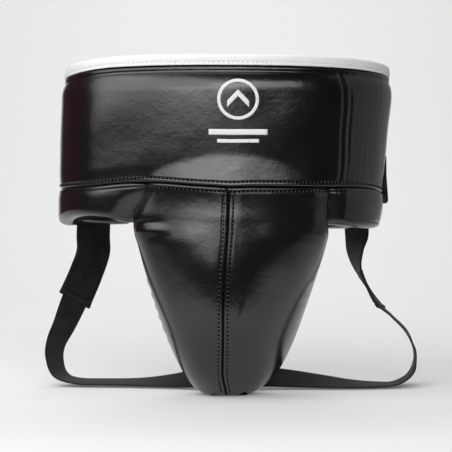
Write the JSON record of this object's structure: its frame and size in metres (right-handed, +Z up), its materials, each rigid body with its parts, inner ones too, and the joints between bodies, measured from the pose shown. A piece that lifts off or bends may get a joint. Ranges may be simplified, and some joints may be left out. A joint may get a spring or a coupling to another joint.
{
  "type": "groin protector",
  "caption": "Padded boxing groin protector: curved waist band with hip pads, tapered rigid cup, two leg straps and a rear elastic belt with a hook-and-loop closure.",
  "frame": {"origin": "on the floor, at the middle of the front of the cup's foot", "axes": "+Z up, -Y the front of the guard, +X to the right as the front is looked at (the wearer's left)"},
  "size_m": [0.3997, 0.2424, 0.336],
  "materials": {
    "black_leather": "smooth finished leather, semi-gloss",
    "white_leather": "smooth leather binding, satin",
    "foam": "closed-cell foam padding, hidden inside",
    "rigid_shell": "moulded rigid cup, hidden inside",
    "lining_fabric": "smooth woven nylon lining",
    "webbing": "flat woven webbing",
    "elastic": "ribbed woven elastic",
    "closure_fabric": "woven closure tab",
    "hook_tape": "hook tape",
    "loop_tape": "loop tape",
    "white_print": "thin printed ink film"
  },
  "bodies": {
    "guard": {"waist_outer_cover": "black_leather", "waist_foam": "foam", "waist_lining": "lining_fabric", "top_binding": "white_leather", "waist_seam_welt": "black_leather", "hip_cover_left": "black_leather", "hip_cover_right": "black_leather", "hip_foam_left": "foam", "hip_foam_right": "foam", "hip_lining_left": "lining_fabric", "hip_lining_right": "lining_fabric", "cup_cover_left": "black_leather", "cup_cover_right": "black_leather", "centre_seam_welt": "black_leather", "cup_foam": "foam", "cup_shell": "rigid_shell", "cup_inner_pad": "foam", "cup_lining": "lining_fabric", "crotch_anchor": "black_leather", "front_emblem": "white_print", "strap_anchor_left": "webbing", "strap_anchor_right": "webbing", "belt_anchor": "webbing", "loop_patch": "loop_tape"},
    "leg_loop_left": {"leg_tab_left": "webbing", "leg_strap_left": "elastic"},
    "leg_loop_right": {"leg_tab_right": "webbing", "leg_strap_right": "elastic"},
    "belt": {"rear_belt": "elastic"},
    "closure": {"closure_tab": "closure_fabric", "hook_patch": "hook_tape"}
  },
  "joints": [
    {"name": "leg_loop_left_swing", "type": "hinge", "parent": "guard", "child": "leg_loop_left", "pos_m": [-0.144, 0.131, 0.165], "axis": [0.5811, -0.3525, -0.7335], "range_deg": [-30, 30], "stiffness_Nm_per_rad": 0.2},
    {"name": "leg_loop_right_swing", "type": "hinge", "parent": "guard", "child": "leg_loop_right", "pos_m": [0.144, 0.131, 0.165], "axis": [-0.5768, -0.3557, -0.7354], "range_deg": [-30, 30], "stiffness_Nm_per_rad": 0.2},
    {"name": "belt_swing", "type": "hinge", "parent": "guard", "child": "belt", "pos_m": [-0.09398, 0.17329, 0.225], "axis": [0, 0, 1], "range_deg": [0, 90], "stiffness_Nm_per_rad": 0.02},
    {"name": "tab_peel", "type": "hinge", "parent": "belt", "child": "closure", "pos_m": [0.15714, 0.1357, 0.225], "axis": [0, 0, 1], "range_deg": [0, 110], "stiffness_Nm_per_rad": 0.01}
  ]
}
